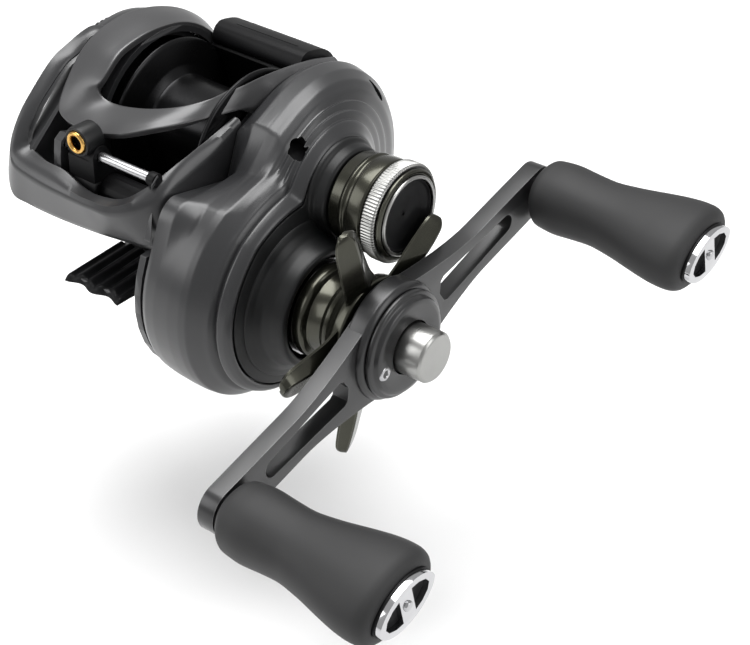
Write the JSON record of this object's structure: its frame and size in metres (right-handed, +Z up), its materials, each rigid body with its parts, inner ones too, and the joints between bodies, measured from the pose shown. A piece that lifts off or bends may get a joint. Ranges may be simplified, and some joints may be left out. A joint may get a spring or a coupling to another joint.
{
  "type": "baitcasting reel",
  "caption": "Low-profile baitcasting reel for left-hand retrieve, with star drag, cast tension knob, thumb bar, level wind and double-knob handle.",
  "frame": {"origin": "on the flat underside of the reel foot, straight below the middle of the spool", "axes": "+X along the spool axis to the handle side, -Y towards the line exit, +Z up, away from the rod"},
  "size_m": [0.1211, 0.1064, 0.06],
  "materials": {
    "body_paint": "satin charcoal paint with a soft sheen",
    "hood_paint": "satin graphite paint, slightly lighter than the body",
    "black_coat": "matte black moulded plastic",
    "olive_gunmetal": "glossy dark olive anodising",
    "bright_aluminium": "brushed bright aluminium",
    "steel": "ground steel",
    "brass": "machined brass",
    "carbon": "matte carbon friction washer",
    "rubber": "matte charcoal rubber",
    "chrome": "polished chrome",
    "nylon": "black nylon",
    "gold": "gold coated ring",
    "crank_anodised": "satin black anodised aluminium",
    "spool_anodised": "dark anodised aluminium"
  },
  "bodies": {
    "frame": {"frame": "body_paint", "nose_cover": "body_paint", "hood": "hood_paint", "gear_side_case": "body_paint", "gear_cover": "black_coat", "palm_side_case": "body_paint", "roller_clutch": "steel", "shaft_bearing": "steel", "gear_side_bearing": "steel", "idler_stud": "steel", "yoke_pin_a": "steel", "yoke_pin_b": "steel", "yoke_spring_a": "steel", "yoke_spring_b": "steel", "worm_guard": "black_coat", "guide_rod": "steel"},
    "palm_plate": {"side_plate": "body_paint", "brake_drum": "brass", "palm_bearing": "steel"},
    "lock_ring": {"lock_ring": "body_paint"},
    "brake_dial": {"brake_dial": "black_coat"},
    "spool": {"spool": "spool_anodised", "spool_shaft": "steel", "brake_hub": "nylon"},
    "handle": {"drive_shaft": "steel", "drive_gear": "brass", "ratchet": "steel", "level_drive_gear": "nylon", "drag_washer": "carbon", "pressure_plate": "steel", "drag_spring_washer": "steel", "clutch_sleeve": "steel", "handle_arm": "crank_anodised", "nut_retainer": "crank_anodised", "handle_nut": "bright_aluminium", "knob_front_shaft": "steel", "knob_rear_shaft": "steel"},
    "star_drag": {"star_drag": "olive_gunmetal"},
    "front_knob": {"knob_front": "rubber", "knob_front_cap": "chrome", "knob_front_bearing": "steel"},
    "rear_knob": {"knob_rear": "rubber", "knob_rear_cap": "chrome", "knob_rear_bearing": "steel"},
    "yoke": {"clutch_yoke": "steel"},
    "pinion": {"pinion_gear": "brass"},
    "cam": {"clutch_cam": "brass"},
    "thumb_bar": {"thumb_bar": "black_coat"},
    "line_guide": {"line_guide": "nylon", "guide_ring": "gold", "pawl": "steel", "pawl_cap": "brass"},
    "worm": {"worm_shaft": "steel", "worm_gear": "nylon"},
    "idler": {"idler_gear": "nylon"},
    "tension_knob": {"tension_cap": "olive_gunmetal", "tension_grip_ring": "bright_aluminium", "tension_trim_ring": "bright_aluminium", "tension_washer": "brass"}
  },
  "joints": [
    {"name": "handle_spin", "type": "hinge", "parent": "frame", "child": "handle", "pos_m": [0, -0.0125, 0.0017], "axis": [1, 0, 0], "continuous": true},
    {"name": "spool_spin", "type": "hinge", "parent": "frame", "child": "spool", "pos_m": [0, 0, 0.0186], "axis": [1, 0, 0], "continuous": true},
    {"name": "worm_spin", "type": "hinge", "parent": "frame", "child": "worm", "pos_m": [0, -0.0236, 0.0162], "axis": [1, 0, 0], "continuous": true},
    {"name": "idler_spin", "type": "hinge", "parent": "frame", "child": "idler", "pos_m": [0, -0.0198, 0.01124], "axis": [1, 0, 0], "continuous": true},
    {"name": "star_turn", "type": "hinge", "parent": "handle", "child": "star_drag", "pos_m": [0, -0.0125, 0.0017], "axis": [1, 0, 0], "range_deg": [-360, 360]},
    {"name": "front_knob_spin", "type": "hinge", "parent": "handle", "child": "front_knob", "pos_m": [0, -0.0562, -0.00903], "axis": [1, 0, 0], "continuous": true},
    {"name": "rear_knob_spin", "type": "hinge", "parent": "handle", "child": "rear_knob", "pos_m": [0, 0.0312, 0.01243], "axis": [1, 0, 0], "continuous": true},
    {"name": "thumb_press", "type": "slide", "parent": "frame", "child": "thumb_bar", "axis": [0, 0.6198, -0.7848], "range_m": [0, 0.0045]},
    {"name": "yoke_lift", "type": "slide", "parent": "frame", "child": "yoke", "axis": [1, 0, 0], "range_m": [0, 0.002]},
    {"name": "pinion_spin", "type": "hinge", "parent": "yoke", "child": "pinion", "pos_m": [0, 0, 0.0186], "axis": [1, 0, 0], "continuous": true},
    {"name": "cam_turn", "type": "hinge", "parent": "frame", "child": "cam", "pos_m": [0, 0, 0.0186], "axis": [1, 0, 0], "range_deg": [-17.1, 0]},
    {"name": "guide_travel", "type": "slide", "parent": "frame", "child": "line_guide", "axis": [1, 0, 0], "range_m": [-0.0018, 0.0095]},
    {"name": "tension_turn", "type": "hinge", "parent": "frame", "child": "tension_knob", "pos_m": [0, 0, 0.0186], "axis": [1, 0, 0], "range_deg": [-270, 270]},
    {"name": "palm_plate_pull", "type": "slide", "parent": "frame", "child": "palm_plate", "axis": [-1, 0, 0], "range_m": [0, 0.022]},
    {"name": "lock_turn", "type": "hinge", "parent": "palm_plate", "child": "lock_ring", "pos_m": [0, 0, 0.0186], "axis": [1, 0, 0], "range_deg": [0, 45]},
    {"name": "brake_turn", "type": "hinge", "parent": "palm_plate", "child": "brake_dial", "pos_m": [0, 0, 0.0186], "axis": [1, 0, 0], "range_deg": [-300, 0]}
  ],
  "couplings": [
    {"joint": "spool_spin", "follows": "handle_spin", "ratio": -7.1},
    {"joint": "pinion_spin", "follows": "handle_spin", "ratio": -7.1},
    {"joint": "idler_spin", "follows": "handle_spin", "ratio": -2.5714},
    {"joint": "worm_spin", "follows": "handle_spin", "ratio": 3},
    {"joint": "yoke_lift", "follows": "thumb_press", "ratio": 0.44444},
    {"joint": "cam_turn", "follows": "thumb_press", "rad_per_m": -65.935}
  ]
}
